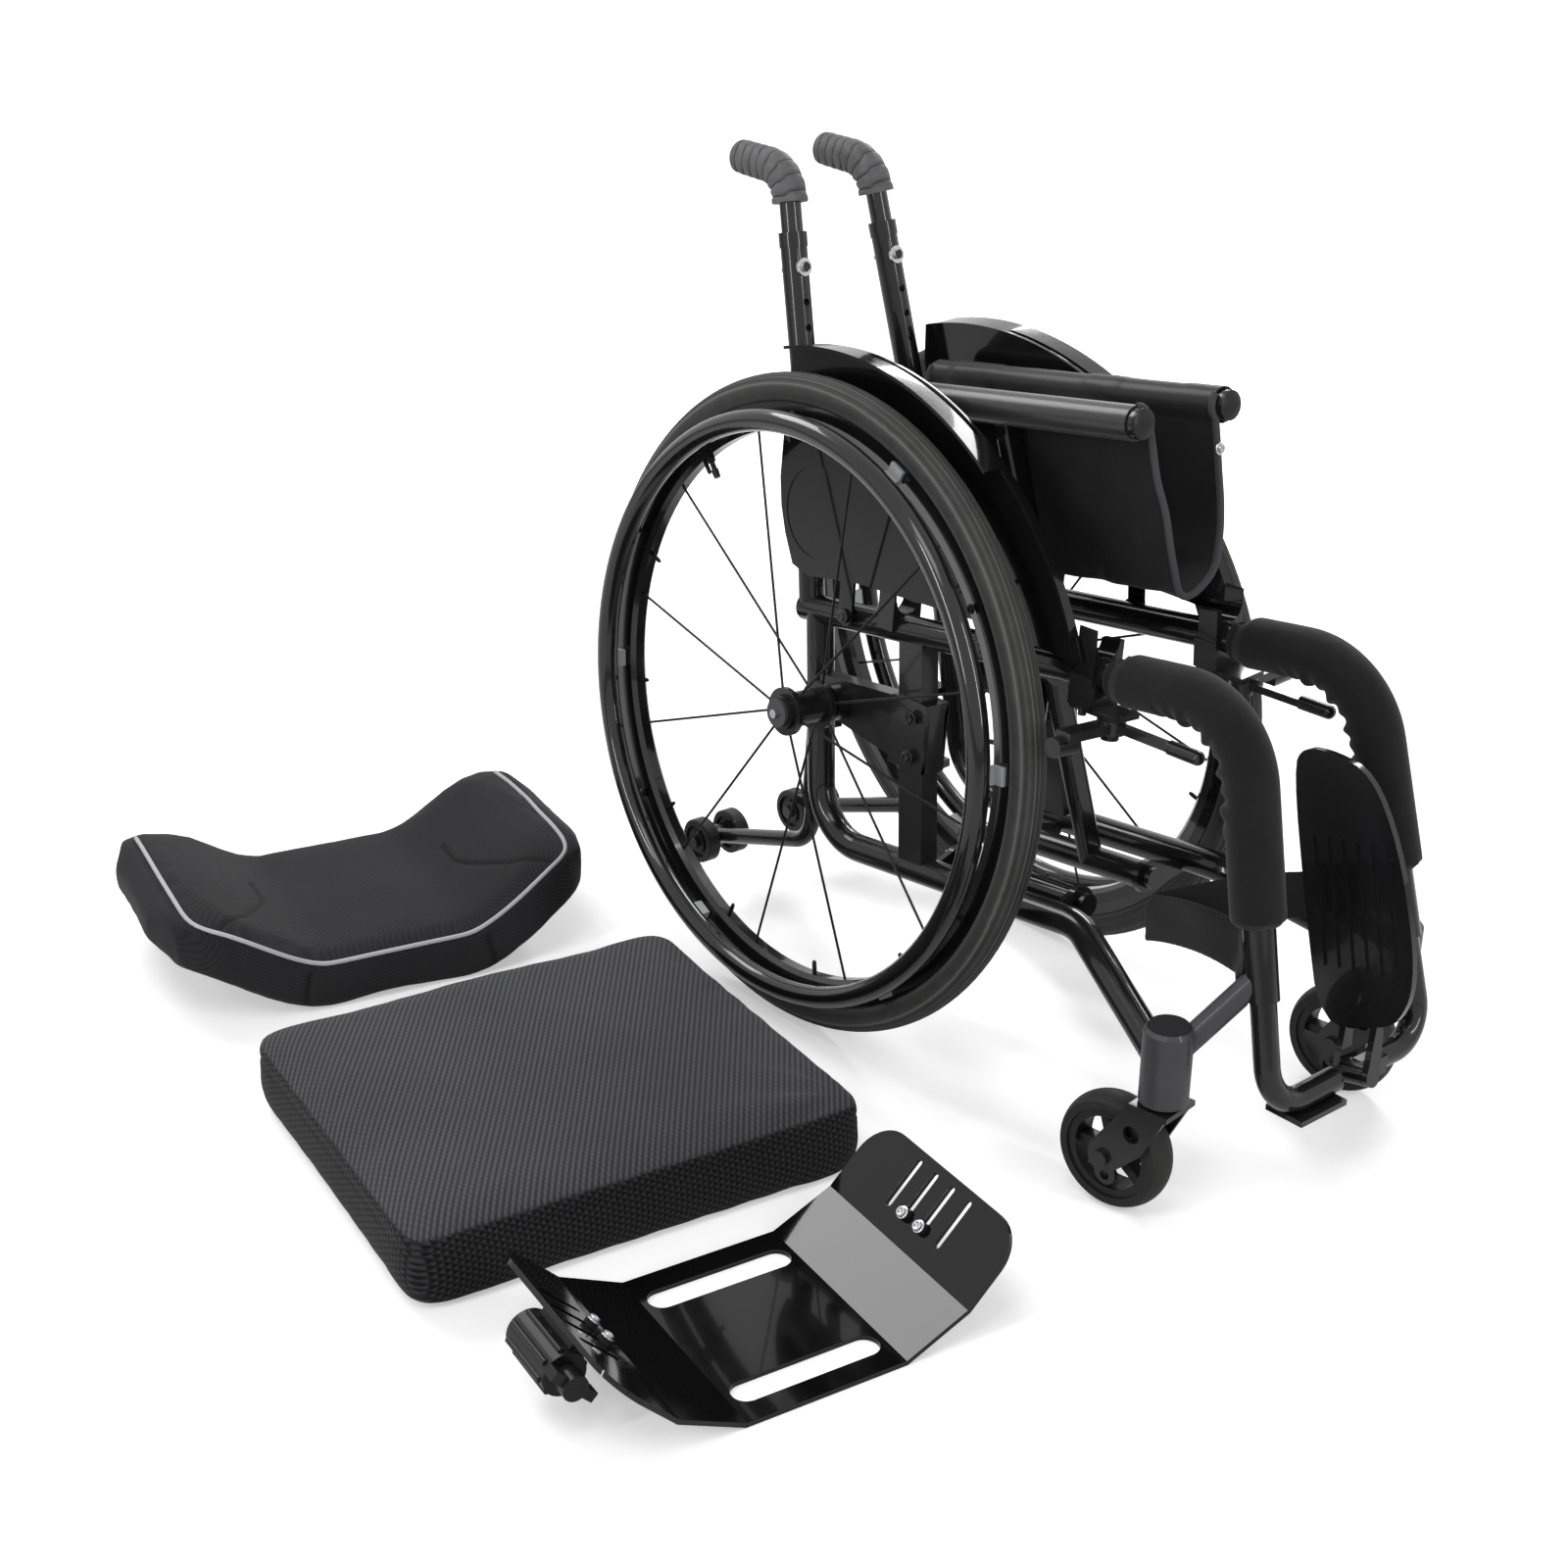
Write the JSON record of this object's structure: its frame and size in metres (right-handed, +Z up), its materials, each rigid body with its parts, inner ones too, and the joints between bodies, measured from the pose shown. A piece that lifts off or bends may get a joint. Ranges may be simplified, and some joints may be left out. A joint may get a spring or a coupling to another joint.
{
  "type": "folding sports wheelchair",
  "caption": "Folding sports wheelchair, folded flat on leaning spoked wheels and front casters, with its seat cushion, back cushion and bent back shell lying beside it.",
  "frame": {"origin": "on the floor, on the folded chair's middle plane, under the rear axle line", "axes": "+X to the chair's left, +Y to its back, +Z up"},
  "size_m": [0.8798, 1.1093, 0.7738],
  "materials": {
    "frame_black": "satin black coated tube",
    "part_black": "satin black coated casting",
    "plastic_gloss": "gloss black",
    "plastic_matte": "fine matte black",
    "rim_black": "gloss black",
    "steel": "satin",
    "steel_black": "black",
    "tyre": "fine grooved black rubber",
    "rubber": "matte black",
    "foam": "soft black sleeve",
    "sling": "black woven",
    "strap": "black mesh",
    "cushion": "black spacer mesh"
  },
  "bodies": {
    "right_frame": {"main_tube_right": "frame_black", "base_tube_right": "frame_black", "axle_post_right": "part_black", "caster_head_right": "part_black", "frame_pad_right": "foam", "side_guard_right": "plastic_gloss", "back_cane_right": "frame_black", "axle_pin_right": "steel", "brake_mount_right": "part_black"},
    "wheel_right": {"tyre_right": "tyre", "rim_right": "rim_black", "spokes_right": "steel_black", "hub_right": "part_black", "handrim_right": "rim_black"},
    "button_right": {"release_button_right": "steel"},
    "handle_right": {"push_handle_right": "frame_black", "push_grip_right": "rubber"},
    "brake_right": {"brake_lever_right": "part_black"},
    "footrest_right": {"hanger_right": "frame_black"},
    "fork_right": {"caster_fork_right": "part_black"},
    "caster_right": {"caster_core_right": "plastic_matte", "caster_tyre_right": "tyre"},
    "anti_tip_right": {"anti_tip_tube_right": "frame_black"},
    "anti_wheels_right": {"anti_tip_wheels_right": "plastic_matte"},
    "strap_right": {"calf_strap_right": "strap"},
    "left_frame": {"main_tube_left": "frame_black", "base_tube_left": "frame_black", "axle_post_left": "part_black", "caster_head_left": "part_black", "frame_pad_left": "foam", "side_guard_left": "plastic_gloss", "back_cane_left": "frame_black", "axle_pin_left": "steel", "brake_mount_left": "part_black"},
    "wheel_left": {"tyre_left": "tyre", "rim_left": "rim_black", "spokes_left": "steel_black", "hub_left": "part_black", "handrim_left": "rim_black"},
    "button_left": {"release_button_left": "steel"},
    "handle_left": {"push_handle_left": "frame_black", "push_grip_left": "rubber"},
    "brake_left": {"brake_lever_left": "part_black"},
    "footrest_left": {"hanger_left": "frame_black"},
    "fork_left": {"caster_fork_left": "part_black"},
    "caster_left": {"caster_core_left": "plastic_matte", "caster_tyre_left": "tyre"},
    "anti_tip_left": {"anti_tip_tube_left": "frame_black"},
    "anti_wheels_left": {"anti_tip_wheels_left": "plastic_matte"},
    "strap_left": {"calf_strap_left": "strap"},
    "arm_a": {"cross_arm_a": "frame_black", "brace_bolt": "steel", "seat_sling": "sling"},
    "arm_b": {"cross_arm_b": "frame_black"},
    "foot_plate": {"footplate": "plastic_gloss"},
    "loose_seat": {"seat_cushion": "cushion"},
    "loose_back": {"back_cushion": "cushion"},
    "loose_shell": {"back_shell": "plastic_gloss", "shell_clamp": "plastic_matte"},
    "knob": {"shell_knob": "plastic_matte"}
  },
  "joints": [
    {"name": "fold", "type": "hinge", "parent": "right_frame", "child": "arm_a", "pos_m": [-0.0426, 0, 0.1494], "axis": [0, 0.9945, -0.1045], "range_deg": [0, 42.42], "deforming": ["seat_sling"]},
    {"name": "brace_centre", "type": "hinge", "parent": "arm_a", "child": "arm_b", "pos_m": [0, -0.17826, 0.36194], "axis": [0, 0.9945, -0.1045], "range_deg": [-84.85, 0]},
    {"name": "brace_left", "type": "hinge", "parent": "arm_b", "child": "left_frame", "pos_m": [0.0426, 0, 0.1494], "axis": [0, 0.9945, -0.1045], "range_deg": [0, 42.43]},
    {"name": "wheel_spin_right", "type": "hinge", "parent": "right_frame", "child": "wheel_right", "pos_m": [-0.13597, 0, 0.29923], "axis": [-0.9973, 0, 0.0732], "continuous": true},
    {"name": "button_press_right", "type": "slide", "parent": "right_frame", "child": "button_right", "axis": [0.9973, 0, -0.0732], "range_m": [0, 0.003], "stiffness_N_per_m": 400, "springref_m": -0.005},
    {"name": "handle_height_right", "type": "slide", "parent": "right_frame", "child": "handle_right", "axis": [0.0712, 0.2334, 0.9698], "range_m": [-0.02, 0.02]},
    {"name": "brake_turn_right", "type": "hinge", "parent": "right_frame", "child": "brake_right", "pos_m": [-0.08129, -0.322, 0.3693], "axis": [-0.0732, 0, -0.9973], "range_deg": [0, 15.5]},
    {"name": "footrest_height_right", "type": "slide", "parent": "right_frame", "child": "footrest_right", "axis": [0.0711, 0.2419, 0.9677], "range_m": [-0.02, 0.03]},
    {"name": "caster_turn_right", "type": "hinge", "parent": "right_frame", "child": "fork_right", "pos_m": [-0.146, -0.461, 0.12], "axis": [0, 0, 1], "continuous": true},
    {"name": "caster_spin_right", "type": "hinge", "parent": "fork_right", "child": "caster_right", "pos_m": [-0.15157, -0.42139, 0.05], "axis": [-0.9903, -0.1392, 0], "continuous": true},
    {"name": "anti_tip_height_right", "type": "slide", "parent": "right_frame", "child": "anti_tip_right", "axis": [0.0732, 0, 0.9973], "range_m": [-0.03, 0.012]},
    {"name": "anti_tip_spin_right", "type": "hinge", "parent": "anti_tip_right", "child": "anti_wheels_right", "pos_m": [-0.062, 0.226, 0.072], "axis": [-1, 0, 0], "continuous": true},
    {"name": "strap_swing_right", "type": "hinge", "parent": "right_frame", "child": "strap_right", "pos_m": [-0.08773, -0.49667, 0.227], "axis": [0, 0, 1], "range_deg": [-55.76, 0], "deforming": ["calf_strap_right"]},
    {"name": "wheel_spin_left", "type": "hinge", "parent": "left_frame", "child": "wheel_left", "pos_m": [0.13597, 0, 0.29923], "axis": [0.9973, 0, 0.0732], "continuous": true},
    {"name": "button_press_left", "type": "slide", "parent": "left_frame", "child": "button_left", "axis": [-0.9973, 0, -0.0732], "range_m": [0, 0.003], "stiffness_N_per_m": 400, "springref_m": -0.005},
    {"name": "handle_height_left", "type": "slide", "parent": "left_frame", "child": "handle_left", "axis": [-0.0712, 0.2334, 0.9698], "range_m": [-0.02, 0.02]},
    {"name": "brake_turn_left", "type": "hinge", "parent": "left_frame", "child": "brake_left", "pos_m": [0.08129, -0.322, 0.3693], "axis": [-0.0732, 0, 0.9973], "range_deg": [0, 15.5]},
    {"name": "footrest_height_left", "type": "slide", "parent": "left_frame", "child": "footrest_left", "axis": [-0.0711, 0.2419, 0.9677], "range_m": [-0.02, 0.03]},
    {"name": "caster_turn_left", "type": "hinge", "parent": "left_frame", "child": "fork_left", "pos_m": [0.146, -0.461, 0.12], "axis": [0, 0, 1], "continuous": true},
    {"name": "caster_spin_left", "type": "hinge", "parent": "fork_left", "child": "caster_left", "pos_m": [0.14043, -0.42139, 0.05], "axis": [-0.9903, -0.1392, 0], "continuous": true},
    {"name": "anti_tip_height_left", "type": "slide", "parent": "left_frame", "child": "anti_tip_left", "axis": [-0.0732, 0, 0.9973], "range_m": [-0.03, 0.012]},
    {"name": "anti_tip_spin_left", "type": "hinge", "parent": "anti_tip_left", "child": "anti_wheels_left", "pos_m": [0.062, 0.226, 0.072], "axis": [1, 0, 0], "continuous": true},
    {"name": "strap_swing_left", "type": "hinge", "parent": "left_frame", "child": "strap_left", "pos_m": [0.08773, -0.49667, 0.227], "axis": [0, 0, 1], "range_deg": [0, 55.76], "deforming": ["calf_strap_left"]},
    {"name": "plate_turn", "type": "hinge", "parent": "footrest_left", "child": "foot_plate", "pos_m": [0.004, -0.53101, 0.112], "axis": [0, 0.9744, -0.225], "range_deg": [-90.01, 0]},
    {"name": "lift_seat", "type": "slide", "parent": "right_frame", "child": "loose_seat", "axis": [0, 0, 1], "range_m": [0, 0.3]},
    {"name": "lift_back", "type": "slide", "parent": "right_frame", "child": "loose_back", "axis": [0, 0, 1], "range_m": [0, 0.3]},
    {"name": "lift_shell", "type": "slide", "parent": "right_frame", "child": "loose_shell", "axis": [0, 0, 1], "range_m": [0, 0.3]},
    {"name": "knob_turn", "type": "hinge", "parent": "loose_shell", "child": "knob", "pos_m": [-0.6537, -0.34859, 0.04485], "axis": [0.1392, 0.9903, 0], "continuous": true}
  ],
  "couplings": [
    {"joint": "brace_centre", "follows": "fold", "ratio": -2},
    {"joint": "brace_left", "follows": "fold", "ratio": 1},
    {"joint": "strap_swing_right", "follows": "fold", "ratio": -1.3141},
    {"joint": "strap_swing_left", "follows": "fold", "ratio": 1.3141},
    {"joint": "footrest_height_left", "follows": "footrest_height_right", "ratio": 1},
    {"joint": "plate_turn", "follows": "fold", "ratio": -2.1216}
  ]
}
